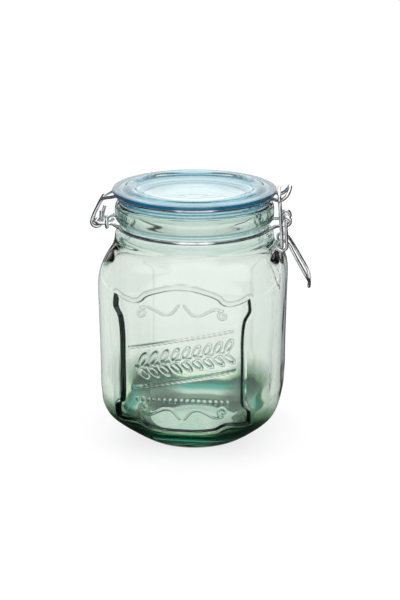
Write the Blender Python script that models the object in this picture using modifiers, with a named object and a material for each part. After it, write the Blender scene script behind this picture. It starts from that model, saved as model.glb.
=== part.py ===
"""Clip-top preserving jar: glass jar and lid, sealing ring and sprung wire closure.

Metres, +Z up. Z = 0 is the plane the foot stands on, X = Y = 0 is the axis of the round neck,
the hinge is at -X and the clamp at +X. The square body is turned a little about Z against the
closure, which can be turned on the round neck.
"""
import math

import bmesh
import bpy
from mathutils import Matrix, Vector

MM = 0.001

# Driving dimensions, in millimetres.
GAP = 0.3
BODY_HALF = 56.6
BODY_SQUARENESS = 3.45
BODY_TURN = math.radians(-5.0)
WALL = 4.2
FOOT_RADIUS = 34.6
BASE_RECESS_RADIUS = 28.0
BASE_RECESS = 0.9
NECK_RADIUS = 48.7
MOUTH_RADIUS = 41.2
RIM_Z = 148.4
GROOVE_Z = 134.3
LID_RADIUS = 50.0
LID_SEAT_RADIUS = 46.5
LID_BOSS_RADIUS = 39.6
LID_EDGE_Z = 157.1
LID_UNDER_Z = 150.6
LID_DISH_Z = 154.5
WIRE_RADIUS = 1.1
ROD_RADIUS = 1.0
SEGMENTS = 48

# Places in the plane of the closure, as (x, z) in millimetres.
HINGE = (-59.9, 135.8)
LEVER_PIVOT = (55.9, 138.5)
LINK_PIVOT = (53.8, 123.6)
LINK_BAR = (51.5, 154.9)

# Half widths of the closure's wires, as y in millimetres.
HINGE_BAR_HALF = 8.0
HOOK_Y = 5.0
EYE_Y = 8.6
LEVER_LEG_Y = 11.0
LINK_LEG_Y = 13.3
TONGUE_Y = 8.5
HANDLE_Y = 11.2

GROOVE_RADIUS = NECK_RADIUS - 3.3
NECK_WIRE_RADIUS = GROOVE_RADIUS + GAP + WIRE_RADIUS
LID_WIRE_RADIUS = LID_SEAT_RADIUS + GAP + WIRE_RADIUS
LID_WIRE_Z = LID_EDGE_Z - 3.0


def material(name, colour, roughness, metallic=0.0, transmission=0.0):
    """A Principled material with the part's colour and finish."""
    made = bpy.data.materials.new(name)
    made.use_nodes = True
    shader = made.node_tree.nodes["Principled BSDF"]
    shader.inputs["Base Color"].default_value = (*colour, 1.0)
    shader.inputs["Roughness"].default_value = roughness
    shader.inputs["Metallic"].default_value = metallic
    shader.inputs["Transmission Weight"].default_value = transmission
    return made


def link_object(name, data, collection, finish):
    """Put mesh or curve data in the collection as one named object."""
    made = bpy.data.objects.new(name, data)
    collection.objects.link(made)
    data.materials.append(finish)
    return made


def shade(mesh, angle=35.0):
    """Smooth shading with the real edges left sharp."""
    mesh.shade_smooth()
    mesh.set_sharp_from_angle(angle=math.radians(angle))


def squircle_radius(half, squareness, angle):
    """Radius of a superellipse at one angle: a circle at squareness 2, squarer above it."""
    across = abs(math.cos(angle)) ** squareness + abs(math.sin(angle)) ** squareness
    return half / across ** (1.0 / squareness)


def ring_points(half, squareness, z):
    """One closed section of the jar, turned with its body."""
    points = []
    for step in range(SEGMENTS):
        angle = 2.0 * math.pi * step / SEGMENTS
        radius = squircle_radius(half, squareness, angle)
        place = angle + BODY_TURN
        points.append(Vector((radius * math.cos(place), radius * math.sin(place), z)) * MM)
    return points


def outer_sections():
    """Half width, squareness and height up the outside of the jar, from the base recess."""
    square = BODY_SQUARENESS
    return [
        (BASE_RECESS_RADIUS, 2.0, BASE_RECESS),
        (FOOT_RADIUS - 4.4, 2.0, 0.0),
        (FOOT_RADIUS, 2.0, 0.0),
        (FOOT_RADIUS + 2.4, 2.05, 1.3),
        (39.9, 2.15, 4.0),
        (44.1, 2.35, 8.0),
        (48.6, 2.65, 13.0),
        (52.8, 3.0, 19.0),
        (55.4, 3.3, 27.0),
        (BODY_HALF - 0.6, square, 38.0),
        (BODY_HALF - 0.5, square, 60.0),
        (BODY_HALF, square, 88.0),
        (BODY_HALF + 0.2, square, 99.0),
        (BODY_HALF, 3.4, 105.0),
        (55.6, 3.2, 110.5),
        (53.5, 2.75, 116.0),
        (50.2, 2.25, 121.0),
        (49.0, 2.05, 125.5),
        (NECK_RADIUS, 2.0, 129.5),
        (GROOVE_RADIUS + 1.2, 2.0, 131.2),
        (GROOVE_RADIUS, 2.0, 132.4),
        (GROOVE_RADIUS, 2.0, 136.3),
        (GROOVE_RADIUS + 1.2, 2.0, 137.4),
        (NECK_RADIUS, 2.0, 139.6),
        (NECK_RADIUS, 2.0, 146.2),
        (NECK_RADIUS - 0.7, 2.0, 147.8),
        (NECK_RADIUS - 2.0, 2.0, RIM_Z),
    ]


def inner_sections():
    """The same down the inside of the jar, from the rim to the floor of the jar."""
    square = BODY_SQUARENESS
    inside = BODY_HALF - WALL
    return [
        (MOUTH_RADIUS + 1.2, 2.0, RIM_Z),
        (MOUTH_RADIUS + 0.2, 2.0, 147.8),
        (MOUTH_RADIUS, 2.0, 146.0),
        (MOUTH_RADIUS, 2.0, 131.0),
        (43.4, 2.0, 126.5),
        (46.2, 2.3, 121.0),
        (49.2, 2.8, 115.0),
        (51.4, 3.2, 109.0),
        (inside, square, 100.0),
        (inside, square, 60.0),
        (inside - 1.0, square, 36.0),
        (48.4, 3.1, 22.0),
        (42.0, 2.6, 13.5),
        (33.0, 2.2, 9.2),
        (20.0, 2.0, 7.4),
    ]


def jar_mesh():
    """The jar's outer and inner skins as one loft, closed by a flat face at each end."""
    shell = bmesh.new()
    rings = []
    for half, squareness, z in outer_sections() + inner_sections():
        rings.append([shell.verts.new(point) for point in ring_points(half, squareness, z)])
    for lower, upper in zip(rings[:-1], rings[1:]):
        for step in range(SEGMENTS):
            after = (step + 1) % SEGMENTS
            shell.faces.new((lower[step], lower[after], upper[after], upper[step]))
    shell.faces.new(reversed(rings[0]))
    shell.faces.new(rings[-1])
    mesh = bpy.data.meshes.new("jar")
    shell.to_mesh(mesh)
    shell.free()
    return mesh


def body_half_at(z):
    """Half width and squareness of the body at one height, between its sections."""
    sections = outer_sections()
    for below, above in zip(sections[:-1], sections[1:]):
        if below[2] <= z <= above[2] and above[2] > below[2]:
            share = (z - below[2]) / (above[2] - below[2])
            half = below[0] + share * (above[0] - below[0])
            return half, below[1] + share * (above[1] - below[1])
    return BODY_HALF, BODY_SQUARENESS


PLAQUE_SIDE = 36.0
PLAQUE_EAR = 40.0
PLAQUE_TOP = 108.6
PLAQUE_BOTTOM = 18.6
PLAQUE_RIB = 1.0


def face_point(across, z):
    """A point on the body's -Y face, before the body's turn, at a distance across it."""
    half, squareness = body_half_at(z)
    depth = (half ** squareness - abs(across) ** squareness) ** (1.0 / squareness)
    return Vector((across, -depth, z)) * MM


def plaque_top():
    """Half of the frame's top end: a low arch, a scallop and the ear's corner, then the side."""
    shape = [(0.0, 0.0), (6.0, 0.4), (12.0, 1.7), (19.0, 3.9), (21.8, 5.4), (23.6, 7.4),
             (26.2, 8.7), (29.2, 9.0), (33.0, 8.2), (37.0, 6.6), (PLAQUE_EAR - 0.6, 5.2),
             (PLAQUE_EAR, 13.2), (38.6, 15.9), (37.2, 18.4), (PLAQUE_SIDE, 26.0)]
    return [(across, PLAQUE_TOP - drop) for across, drop in shape]


def plaque_bottom():
    """Half of the frame's bottom end: a flat bow, a shallow scallop and a taller ear."""
    shape = [(0.0, 0.0), (9.0, 0.2), (16.0, 1.1), (20.4, 2.2), (23.6, 4.4), (27.2, 5.8),
             (31.4, 5.7), (35.6, 5.2), (PLAQUE_EAR - 0.6, 5.4), (PLAQUE_EAR, 13.0),
             (38.6, 15.8), (37.2, 17.6), (PLAQUE_SIDE, 22.0)]
    return [(across, PLAQUE_BOTTOM + rise) for across, rise in shape]


def plaque_outline():
    """The raised frame's route: arched ends and straight sides, with an ear at each corner."""
    right = plaque_top() + [(PLAQUE_SIDE, 65.0)] + plaque_bottom()[::-1]
    left = [(-across, z) for across, z in right[-2:0:-1]]
    return right + left


def curve_object(name, points, radius, collection, finish, closed=False, sides=2):
    """A round wire along points given in metres."""
    curve = bpy.data.curves.new(name, "CURVE")
    curve.dimensions = "3D"
    curve.bevel_depth = radius * MM
    curve.bevel_resolution = sides
    curve.use_fill_caps = True
    spline = curve.splines.new("POLY")
    spline.points.add(len(points) - 1)
    for target, point in zip(spline.points, points):
        target.co = (*point, 1.0)
    spline.use_cyclic_u = closed
    spline.use_smooth = True
    return link_object(name, curve, collection, finish)


def plaque_rib(number, cutters, finish):
    """One raised frame on one face of the body, as a mesh that can be joined to the jar."""
    points = [face_point(across, z) for across, z in plaque_outline()]
    rib = curve_object(f"plaque_rib_{number}", points, PLAQUE_RIB, cutters, finish, True, 0)
    rib.rotation_euler.z = BODY_TURN + number * math.pi / 2.0
    bpy.context.view_layer.update()
    graph = bpy.context.evaluated_depsgraph_get()
    mesh = bpy.data.meshes.new_from_object(rib.evaluated_get(graph))
    clean = bmesh.new()
    clean.from_mesh(mesh)
    bmesh.ops.remove_doubles(clean, verts=clean.verts, dist=0.01 * MM)
    clean.to_mesh(mesh)
    clean.free()
    solid = bpy.data.objects.new(f"plaque_solid_{number}", mesh)
    cutters.objects.link(solid)
    solid.matrix_world = rib.matrix_world.copy()
    bpy.data.objects.remove(rib)
    solid.hide_render = True
    solid.display_type = "WIRE"
    return solid


def make_jar(collection, cutters, finish):
    """The glass jar: rounded square body, round grooved neck, a framed plaque front and back."""
    mesh = jar_mesh()
    shade(mesh)
    jar = link_object("jar", mesh, collection, finish)
    for number in (0, 2):
        union = jar.modifiers.new(f"plaque_{number}", "BOOLEAN")
        union.operation = "UNION"
        union.solver = "EXACT"
        union.object = plaque_rib(number, cutters, finish)
    return jar


def turned(name, profile, closed, collection, finish):
    """A turned solid from a profile of (radius, z) that runs down its outer side."""
    mesh = bpy.data.meshes.new(name)
    points = [(radius * MM, 0.0, z * MM) for radius, z in profile]
    edges = [(number, number + 1) for number in range(len(points) - 1)]
    if closed:
        edges.append((len(points) - 1, 0))
    mesh.from_pydata(points, edges, [])
    made = link_object(name, mesh, collection, finish)
    screw = made.modifiers.new("turn", "SCREW")
    screw.steps = SEGMENTS
    screw.render_steps = SEGMENTS
    screw.use_merge_vertices = True
    screw.merge_threshold = 0.00001
    screw.use_smooth_shade = True
    return made


def make_lid(collection, finish):
    """The glass lid: dished top in a raised ring, flange, wire seat and locating boss."""
    edge = LID_EDGE_Z
    under = LID_UNDER_Z
    boss = LID_BOSS_RADIUS
    profile = [
        (0.0, LID_DISH_Z), (18.0, LID_DISH_Z), (27.0, LID_DISH_Z + 0.4), (33.0, LID_DISH_Z + 1.6),
        (37.0, edge + 0.6), (39.6, edge + 1.3), (42.0, edge + 0.8), (44.5, edge), (48.0, edge),
        (49.4, edge - 0.3), (LID_RADIUS, edge - 1.0), (LID_RADIUS, edge - 1.9),
        (49.6, edge - 2.3), (49.1, edge - 2.2), (48.2, edge - 1.5), (47.0, edge - 1.4),
        (LID_SEAT_RADIUS, edge - 1.8), (LID_SEAT_RADIUS, under + 1.9), (47.3, under + 1.2),
        (47.4, under + 0.6), (46.6, under), (45.6, under), (boss + 0.2, under),
        (boss, under - 0.2), (boss - 0.4, 147.5), (boss - 1.2, 147.0), (boss - 3.6, 147.0),
        (boss - 5.2, 147.9), (30.0, 149.0), (18.0, 149.5), (0.0, 149.5),
    ]
    return turned("lid", profile, False, collection, finish)


def make_gasket(collection, finish):
    """The flat sealing ring between the lid and the rim."""
    low = RIM_Z + GAP
    high = LID_UNDER_Z - GAP
    inner = LID_BOSS_RADIUS + 1.0
    outer = 46.4
    profile = [(outer, high - 0.3), (outer, low + 0.3), (outer - 0.3, low), (inner + 0.3, low),
               (inner, low + 0.3), (inner, high - 0.3), (inner + 0.3, high), (outer - 0.3, high)]
    return turned("gasket", profile, True, collection, finish)


def smooth_route(points, spacing=1.6):
    """Points along a smooth curve through hand-set points, all in millimetres."""
    knots = [Vector(point) for point in points]
    knots = [2.0 * knots[0] - knots[1]] + knots + [2.0 * knots[-1] - knots[-2]]
    route = []
    for before, start, end, after in zip(knots[:-3], knots[1:-2], knots[2:-1], knots[3:]):
        pieces = max(1, math.ceil((end - start).length / spacing))
        for piece in range(pieces):
            route.append(catmull_rom(before, start, end, after, piece / pieces))
    route.append(knots[-2])
    return route


def catmull_rom(before, start, end, after, share):
    """Centripetal Catmull-Rom point between start and end."""
    first = math.sqrt((start - before).length)
    second = first + math.sqrt((end - start).length)
    third = second + math.sqrt((after - end).length)
    at = first + share * (second - first)
    low = before.lerp(start, at / first)
    middle = start.lerp(end, (at - first) / (second - first))
    high = end.lerp(after, (at - second) / (third - second))
    lower = low.lerp(middle, at / second)
    upper = middle.lerp(high, (at - first) / (third - first))
    return lower.lerp(upper, (at - first) / (second - first))


def arc_points(radius, z, start, end, pieces):
    """Points on a level arc about the neck's axis, between two angles in degrees."""
    points = []
    for piece in range(pieces + 1):
        angle = math.radians(start + (end - start) * piece / pieces)
        points.append((radius * math.cos(angle), radius * math.sin(angle), z))
    return points


def curl_points(centre, radius, start, end, start_y, end_y, pieces):
    """Points on a curl in the plane of the closure that drifts along Y as it turns."""
    points = []
    for piece in range(pieces + 1):
        share = piece / pieces
        angle = math.radians(start + (end - start) * share)
        x = centre[0] + radius * math.cos(angle)
        z = centre[1] + radius * math.sin(angle)
        points.append((x, start_y + (end_y - start_y) * share, z))
    return points


def mirrored(points):
    """The same points on the other side of the plane of the closure."""
    return [(x, -y, z) for x, y, z in points]


def in_metres(points):
    """Vectors in metres from points in millimetres."""
    return [Vector(point) * MM for point in points]


HOOK_RADIUS = 2.9
EYE_RADIUS = 2.6
COIL_RADIUS = 2.9
COIL_DRIFT = 2.4


def bail_half(strand_end):
    """The lid wire's front bail, from the free end of its hook up to the lid's edge."""
    y = -HOOK_Y
    hook = curl_points(HINGE, HOOK_RADIUS, 0.0, -188.0, y, y, 9)
    rise = [(-61.4, y, 140.2), (-59.3, y, 144.6), (-57.1, -4.9, 148.6), (-55.9, -5.1, 150.2),
            (-53.9, -5.9, 151.1), (-51.1, -8.2, 152.0), (-48.6, -10.8, 153.1)]
    return [strand_end, (-56.95, y, 138.6)] + hook + rise


def tongue_half():
    """The lid wire's tongue, from the lid's edge to the middle of its upturned lip."""
    y = -TONGUE_Y
    return [(47.8, -11.6, 153.1), (49.9, y - 0.7, 151.8), (51.9, y, 151.35), (54.4, y + 0.1, 152.6),
            (56.8, -7.3, 155.1), (57.9, -5.0, 157.3), (58.2, -1.9, 158.4)]


def make_lid_wire(collection, finish):
    """The wire round the lid: two hinge bails, a ring under the flange and the clamp's tongue."""
    front_arc = arc_points(LID_WIRE_RADIUS, LID_WIRE_Z, 197.0, 342.0, 29)
    front = bail_half((-56.7, -HOOK_Y, 143.0)) + front_arc + tongue_half()
    back = bail_half((-55.6, -HOOK_Y, 143.6)) + front_arc + tongue_half()
    route = front + mirrored(reversed(back))
    return curve_object("lid_wire", in_metres(smooth_route(route, 6.0)), WIRE_RADIUS, collection,
                        finish)


def eye_half():
    """A neck wire's clamp end: out from the groove and round into the lever's eye."""
    lead = [(46.9, -12.2, 134.7), (49.4, -9.9, 135.5), (52.4, -EYE_Y - 0.1, 135.9)]
    eye = curl_points(LEVER_PIVOT, EYE_RADIUS, -90.0, 195.0, -EYE_Y, -EYE_Y + 1.9, 13)
    return lead + eye


def make_front_neck_wire(collection, finish):
    """The front half of the neck wire, which also forms the hinge bracket and its bar."""
    x, z = HINGE
    y = HINGE_BAR_HALF
    bracket = [(-53.5, y, z), (-57.6, y, z), (-59.2, y - 0.4, z), (x, y - 1.9, z), (x, 0.0, z),
               (x, 1.9 - y, z), (-59.2, 0.4 - y, z), (-57.6, -y, z), (-53.5, -y, z),
               (-50.2, -y - 0.1, 135.5), (-47.6, -y - 2.0, 134.8)]
    arc = arc_points(NECK_WIRE_RADIUS, GROOVE_Z, 197.0, 342.0, 29)
    route = bracket + arc + eye_half()
    return curve_object("neck_wire_front", in_metres(smooth_route(route, 6.0)), WIRE_RADIUS,
                        collection, finish)


def make_back_neck_wire(collection, finish):
    """The back half of the neck wire, which hooks round the front half beside the hinge."""
    y = -HINGE_BAR_HALF
    z = HINGE[1]
    tail = [(-50.2, 0.2, 136.3), (-50.9, -3.0, 135.9)]
    hook = []
    for piece in range(8):
        angle = math.radians(-25.0 - 245.0 * piece / 7.0)
        hook.append((-53.0, y + 2.5 * math.cos(angle), z + 2.5 * math.sin(angle)))
    strand = [(-52.5, -4.4, 138.8), (-51.3, 0.5, 138.6), (-50.3, 6.0, 137.4), (-48.4, 9.9, 135.6)]
    arc = arc_points(NECK_WIRE_RADIUS, GROOVE_Z, 163.5, 18.0, 29)
    route = tail + hook + strand + arc + mirrored(eye_half())
    return curve_object("neck_wire_back", in_metres(smooth_route(route, 6.0)), WIRE_RADIUS,
                        collection, finish)


def lever_half():
    """The lever's front half: pin, leg, coil for the link, and handle to the tip."""
    y = -LEVER_LEG_Y
    pivot_x, pivot_z = LEVER_PIVOT
    pin = [(pivot_x, -5.8, pivot_z), (pivot_x, -9.6, pivot_z), (pivot_x, -10.7, 138.1),
           (pivot_x, y, 136.9)]
    leg = [(56.1, y, 130.0)]
    coil = curl_points(LINK_PIVOT, COIL_RADIUS, 0.0, -296.0, y, y + COIL_DRIFT, 13)
    handle = [(57.9, y + COIL_DRIFT, 123.9), (60.6, 0.9 - HANDLE_Y, 119.4),
              (65.0, -HANDLE_Y, 111.7), (69.3, 0.1 - HANDLE_Y, 104.0), (70.6, -8.8, 101.4),
              (71.0, -4.6, 98.9), (71.0, -1.8, 96.9), (70.9, -0.9, 95.3)]
    return pin + leg + coil + handle


def make_lever(collection, finish):
    """The lever: one rod from pin to pin through both coils and the handle's hairpin."""
    half = lever_half()
    route = half + [(70.9, 0.0, 95.0)] + mirrored(reversed(half))
    x, z = LEVER_PIVOT
    made = curve_object("lever", in_metres(smooth_route(route, 6.5)), ROD_RADIUS, collection,
                        finish)
    move_origin(made, Vector((x, 0.0, z)) * MM)
    return made


def make_link(collection, finish):
    """The link: a rod hoop whose ends turn inward through the lever's coils."""
    x, z = LINK_PIVOT
    bar_x, bar_z = LINK_BAR
    y = -LINK_LEG_Y
    half = [(x, -7.0, z), (x, y + 1.5, z), (x, y + 0.4, z + 0.4), (x - 0.05, y, z + 1.5),
            (bar_x + 0.1, y, bar_z - 2.4), (bar_x, y + 0.7, bar_z - 0.7),
            (bar_x, y + 2.4, bar_z)]
    route = half + mirrored(reversed(half))
    made = curve_object("link", in_metres(smooth_route(route, 14.0)), ROD_RADIUS, collection,
                        finish)
    move_origin(made, Vector((x, 0.0, z)) * MM)
    return made


def move_origin(made, place):
    """Put a curve's origin on its joint's axis without moving its shape."""
    made.data.transform(Matrix.Translation(-place))
    made.location = place


def build():
    """Clear the scene and make every piece of the jar."""
    for old in list(bpy.data.objects):
        bpy.data.objects.remove(old)
    parts = bpy.data.collections.new("clip_top_jar")
    cutters = bpy.data.collections.new("joined_shapes")
    bpy.context.scene.collection.children.link(parts)
    bpy.context.scene.collection.children.link(cutters)
    wire = (0.74, 0.75, 0.77)
    rod = (0.78, 0.79, 0.81)
    make_jar(parts, cutters, material("jar_glass", (0.66, 0.83, 0.73), 0.04, 0.0, 1.0))
    make_lid(parts, material("lid_glass", (0.16, 0.48, 0.57), 0.04, 0.0, 1.0))
    make_gasket(parts, material("seal_silicone", (0.86, 0.88, 0.85), 0.35))
    make_front_neck_wire(parts, material("neck_wire_front_steel", wire, 0.16, 1.0))
    make_back_neck_wire(parts, material("neck_wire_back_steel", wire, 0.16, 1.0))
    make_lid_wire(parts, material("lid_wire_steel", wire, 0.16, 1.0))
    make_lever(parts, material("lever_steel", rod, 0.14, 1.0))
    make_link(parts, material("link_steel", rod, 0.14, 1.0))


build()
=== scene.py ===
"""Looks for the clip-top preserving jar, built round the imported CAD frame.

Everything is in metres in the CAD's frame: Z up from the foot, hinge at -X, clamp at +X.
"""

import math

import bpy
import numpy as np
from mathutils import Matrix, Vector
from mathutils import noise as mathnoise


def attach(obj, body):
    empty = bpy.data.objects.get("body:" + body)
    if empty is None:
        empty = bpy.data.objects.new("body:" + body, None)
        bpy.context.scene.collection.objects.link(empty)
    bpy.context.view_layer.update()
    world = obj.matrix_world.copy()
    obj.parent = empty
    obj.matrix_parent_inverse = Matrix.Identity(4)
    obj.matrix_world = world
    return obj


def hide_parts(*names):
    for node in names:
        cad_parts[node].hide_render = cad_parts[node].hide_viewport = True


MM = 0.001
BODY_TURN = math.radians(-5.0)
BODY_HALF = 56.5
BODY_SQUARE = 3.45

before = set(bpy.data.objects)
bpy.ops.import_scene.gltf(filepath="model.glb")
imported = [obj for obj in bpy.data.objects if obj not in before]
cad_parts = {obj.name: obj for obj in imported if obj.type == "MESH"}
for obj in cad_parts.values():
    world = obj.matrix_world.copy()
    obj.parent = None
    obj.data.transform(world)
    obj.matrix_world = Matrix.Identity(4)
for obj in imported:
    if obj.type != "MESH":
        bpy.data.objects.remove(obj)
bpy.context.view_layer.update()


# ---------------------------------------------------------------- helpers

def smooth_rows(knots, spacing):
    """Centripetal Catmull-Rom through knots of any size, sampled at about one spacing.

    The first two numbers of a knot are its place; spacing may be a function of the place.
    """
    pts = np.array(knots, float)
    ends = [2 * pts[0] - pts[1], 2 * pts[-1] - pts[-2]]
    pts = np.vstack([ends[0], pts, ends[1]])
    rows = []
    for i in range(1, len(pts) - 2):
        p0, p1, p2, p3 = pts[i - 1:i + 3]
        step = spacing(0.5 * (p1 + p2)) if callable(spacing) else spacing
        count = max(1, int(math.ceil(np.linalg.norm((p2 - p1)[:3]) / step)))
        t1 = math.sqrt(np.linalg.norm(p1 - p0))
        t2 = t1 + math.sqrt(np.linalg.norm(p2 - p1))
        t3 = t2 + math.sqrt(np.linalg.norm(p3 - p2))
        for k in range(count):
            t = t1 + (t2 - t1) * k / count
            a1 = p0 + (p1 - p0) * t / t1
            a2 = p1 + (p2 - p1) * (t - t1) / (t2 - t1)
            a3 = p2 + (p3 - p2) * (t - t2) / (t3 - t2)
            b1 = a1 + (a2 - a1) * t / t2
            b2 = a2 + (a3 - a2) * (t - t1) / (t3 - t1)
            rows.append(b1 + (b2 - b1) * (t - t1) / (t2 - t1))
    rows.append(pts[-2])
    return np.array(rows)


def smoothstep(low, high, value):
    """0 below low, 1 above high, and a smooth rise between."""
    share = np.clip((value - low) / (high - low), 0.0, 1.0)
    return share * share * (3.0 - 2.0 * share)


def mesh_object(name, verts, faces):
    """A smooth mesh object from numpy vertices in millimetres and index faces."""
    mesh = bpy.data.meshes.new(name)
    mesh.from_pydata([tuple(v) for v in np.asarray(verts) * MM], [], faces)
    mesh.validate()
    mesh.shade_smooth()
    made = bpy.data.objects.new(name, mesh)
    bpy.context.scene.collection.objects.link(made)
    return made


# ---------------------------------------------------------------- materials

def new_material(name):
    """A fresh node material, its Principled shader, its output and a node maker."""
    made = bpy.data.materials.new(name)
    made.use_nodes = True
    nodes = made.node_tree.nodes
    return made, nodes["Principled BSDF"], nodes["Material Output"], nodes, made.node_tree.links


def noise(nodes, links, scale, detail=2.0, stretch=None):
    """A noise texture in the object's own space."""
    coords = nodes.new("ShaderNodeTexCoord")
    texture = nodes.new("ShaderNodeTexNoise")
    texture.inputs["Scale"].default_value = scale
    texture.inputs["Detail"].default_value = detail
    source = coords.outputs["Object"]
    if stretch:
        mapping = nodes.new("ShaderNodeMapping")
        mapping.inputs["Scale"].default_value = stretch
        links.new(source, mapping.inputs["Vector"])
        source = mapping.outputs["Vector"]
    links.new(source, texture.inputs["Vector"])
    return texture.outputs["Fac"]


def ramp(nodes, links, source, stops):
    """A colour ramp on source, from (place, colour) stops."""
    made = nodes.new("ShaderNodeValToRGB")
    while len(made.color_ramp.elements) < len(stops):
        made.color_ramp.elements.new(0.5)
    for element, (place, colour) in zip(made.color_ramp.elements, stops):
        element.position = place
        element.color = (*colour, 1.0)
    links.new(source, made.inputs["Fac"])
    return made.outputs["Color"]


def map_range(nodes, links, source, reads, gives, eased=False):
    """A map range node from the reads pair to the gives pair, clamped at both ends."""
    made = nodes.new("ShaderNodeMapRange")
    if eased:
        made.interpolation_type = "SMOOTHSTEP"
    made.inputs["From Min"].default_value, made.inputs["From Max"].default_value = reads
    made.inputs["To Min"].default_value, made.inputs["To Max"].default_value = gives
    links.new(source, made.inputs["Value"])
    return made.outputs["Result"]


def bump(nodes, links, source, strength, distance):
    """A bump node on source."""
    made = nodes.new("ShaderNodeBump")
    made.inputs["Strength"].default_value = strength
    made.inputs["Distance"].default_value = distance
    links.new(source, made.inputs["Height"])
    return made


def absorption(nodes, links, output, tint, density):
    """Absorbing glass or silicone all through a closed mesh."""
    made = nodes.new("ShaderNodeVolumeAbsorption")
    made.inputs["Color"].default_value = (*tint, 1.0)
    made.inputs["Density"].default_value = density
    links.new(made.outputs["Volume"], output.inputs["Volume"])


def glass_material(name, tint, density, wave, seeds, colour_low, colour_high):
    """Pressed glass: tinted all through, with slow waves in its surface and a few fine seeds."""
    made, shader, output, nodes, links = new_material(name)
    shader.inputs["Transmission Weight"].default_value = 1.0
    shader.inputs["IOR"].default_value = 1.5
    shader.inputs["Metallic"].default_value = 0.0
    veil = ramp(nodes, links, noise(nodes, links, 60.0, 3.0),
                [(0.3, colour_low), (0.7, colour_high)])
    # The painted vertex colour multiplies in the glass's tint and its painted shade.
    painted = nodes.new("ShaderNodeVertexColor")
    painted.layer_name = "tint_and_painted_shade"
    mix = nodes.new("ShaderNodeMix")
    mix.data_type = "RGBA"
    mix.blend_type = "MULTIPLY"
    mix.inputs["Factor"].default_value = 1.0
    links.new(veil, mix.inputs["A"])
    links.new(painted.outputs["Color"], mix.inputs["B"])
    links.new(mix.outputs["Result"], shader.inputs["Base Color"])
    smears = noise(nodes, links, 35.0, 4.0)
    links.new(map_range(nodes, links, smears, (0.62, 0.85), (0.0, 0.035)),
              shader.inputs["Roughness"])
    swell = nodes.new("ShaderNodeMath")
    swell.operation = "MULTIPLY"
    links.new(noise(nodes, links, 45.0, 1.0, (1.0, 1.0, 0.45)), swell.inputs[0])
    links.new(painted.outputs["Alpha"], swell.inputs[1])
    slow = bump(nodes, links, swell.outputs["Value"], 1.0, wave)
    cells = nodes.new("ShaderNodeTexVoronoi")
    cells.inputs["Scale"].default_value = 90.0
    coords = nodes.new("ShaderNodeTexCoord")
    links.new(coords.outputs["Object"], cells.inputs["Vector"])
    spot = map_range(nodes, links, cells.outputs["Distance"], (0.03, 0.08), (1.0, 0.0))
    fine = bump(nodes, links, spot, 1.0, seeds)
    links.new(slow.outputs["Normal"], fine.inputs["Normal"])
    links.new(fine.outputs["Normal"], shader.inputs["Normal"])
    absorption(nodes, links, output, tint, density)
    return made


def steel_material(name, low, high, rough_low, rough_high):
    """Bright drawn steel wire: cloudy patches, uneven polish and a fine grain."""
    made, shader, _, nodes, links = new_material(name)
    shader.inputs["Metallic"].default_value = 1.0
    cloud = noise(nodes, links, 170.0, 4.0)
    links.new(ramp(nodes, links, cloud, [(0.3, low), (0.65, high)]), shader.inputs["Base Color"])
    polish = noise(nodes, links, 420.0, 5.0)
    links.new(map_range(nodes, links, polish, (0.3, 0.75), (rough_low, rough_high)),
              shader.inputs["Roughness"])
    grain = bump(nodes, links, noise(nodes, links, 900.0, 3.0), 0.35, 0.00004)
    links.new(grain.outputs["Normal"], shader.inputs["Normal"])
    return made


def seal_material(name):
    """Clear silicone with a faint grey-green body, slightly uneven and softly polished."""
    made, shader, output, nodes, links = new_material(name)
    shader.inputs["Transmission Weight"].default_value = 1.0
    shader.inputs["IOR"].default_value = 1.41
    milk = ramp(nodes, links, noise(nodes, links, 80.0, 3.0),
                [(0.35, (0.94, 0.97, 0.96)), (0.7, (1.0, 1.0, 1.0))])
    links.new(milk, shader.inputs["Base Color"])
    polish = noise(nodes, links, 200.0, 4.0)
    links.new(map_range(nodes, links, polish, (0.0, 1.0), (0.02, 0.12)),
              shader.inputs["Roughness"])
    grain = bump(nodes, links, noise(nodes, links, 600.0, 2.0), 0.2, 0.0001)
    links.new(grain.outputs["Normal"], shader.inputs["Normal"])
    absorption(nodes, links, output, (0.30, 0.42, 0.44), 75.0)
    return made


# ---------------------------------------------------------------- the glass jar

# Rows of (half width, height, superellipse power) up the outside, then down the inside.
OUTER = [
    (30.6, 0.0, 2.0), (34.0, 0.0, 2.0), (35.2, 0.25, 2.0), (36.9, 1.6, 2.05), (39.7, 4.0, 2.15),
    (43.9, 8.0, 2.35), (48.5, 13.0, 2.65), (52.7, 19.0, 3.0), (55.3, 27.0, 3.3),
    (56.0, 38.0, 3.45), (56.1, 60.0, 3.45), (56.5, 85.0, 3.45), (56.8, 99.0, 3.45),
    (56.6, 105.0, 3.4), (55.7, 110.5, 3.2), (53.5, 116.0, 2.75), (50.4, 121.0, 2.3),
    (49.1, 125.5, 2.05), (48.7, 129.2, 2.0), (47.9, 130.6, 2.0), (46.3, 131.4, 2.0),
    (45.5, 132.6, 2.0), (45.4, 134.3, 2.0), (45.5, 136.0, 2.0), (46.3, 137.2, 2.0),
    (47.9, 138.1, 2.0), (48.6, 139.6, 2.0), (48.7, 142.5, 2.0), (48.6, 145.6, 2.0),
    (48.0, 147.4, 2.0), (46.6, 148.3, 2.0),
]
INNER = [
    (42.9, 148.35, 2.0), (41.9, 147.9, 2.0), (41.3, 146.8, 2.0), (41.1, 144.0, 2.0),
    (40.8, 137.0, 2.0), (41.2, 131.0, 2.0), (43.0, 126.6, 2.0), (45.8, 121.2, 2.3),
    (48.9, 115.4, 2.8), (51.2, 109.4, 3.2), (52.2, 103.0, 3.4), (52.3, 85.0, 3.45),
    (51.9, 60.0, 3.45), (51.6, 38.0, 3.4), (50.6, 28.0, 3.2), (47.6, 19.4, 2.8),
    (42.8, 13.4, 2.5), (35.6, 9.6, 2.25), (26.0, 7.7, 2.1), (14.0, 6.9, 2.0),
]
PANEL_SIDE = 36.0
PANEL_EAR = 40.0
PANEL_TOP = 108.6
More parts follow.
